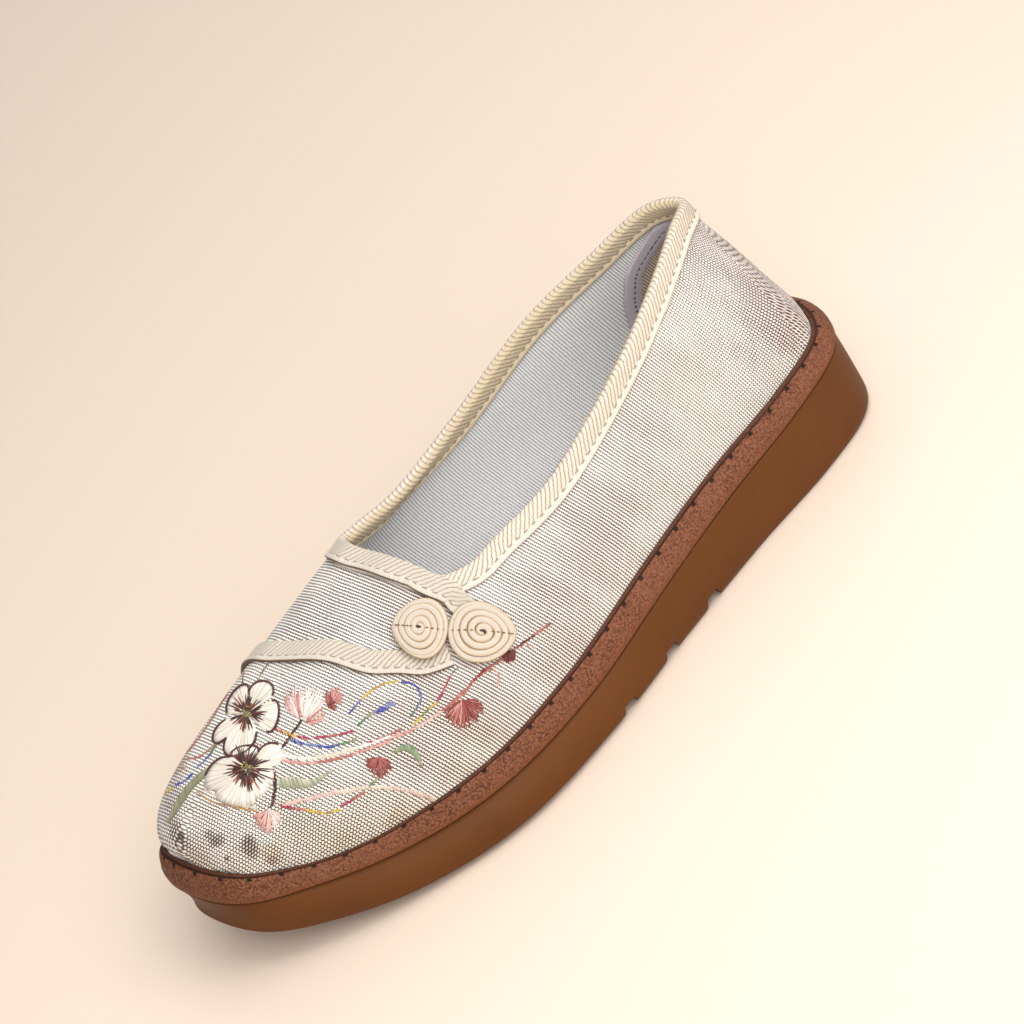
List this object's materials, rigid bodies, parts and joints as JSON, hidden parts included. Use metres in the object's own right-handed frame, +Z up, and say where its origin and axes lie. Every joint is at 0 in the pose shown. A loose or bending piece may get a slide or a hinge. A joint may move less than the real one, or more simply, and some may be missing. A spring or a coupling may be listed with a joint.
{
  "type": "chinese cloth shoe",
  "caption": "Women's left slip-on cloth shoe with a striped linen upper, bound collar, crossing front panel with a coiled frog fastening, and a thick brown moulded sole.",
  "frame": {"origin": "bottom centre of the bounding box, on the floor", "axes": "+Y towards the heel, -Y towards the toe, +X towards the lateral side of this left shoe, +Z up"},
  "size_m": [0.0954, 0.2512, 0.0858],
  "materials": {
    "sole": "smooth matte brown foam rubber",
    "foxing": "pebbled brown",
    "linen": "ribbed linen with thin dark stripes and embroidery",
    "insole": "plain cloth",
    "tape": "cream twill tape",
    "cord": "cream cord",
    "lining": "smooth lilac grey"
  },
  "bodies": {
    "root": {"outsole": "sole", "foxing": "foxing", "upper": "linen", "insole": "insole", "collar_binding": "tape", "vamp_piping": "tape", "closure_tab": "tape", "frog_coil_front": "cord", "frog_coil_rear": "cord", "heel_lining": "lining"}
  },
  "joints": []
}
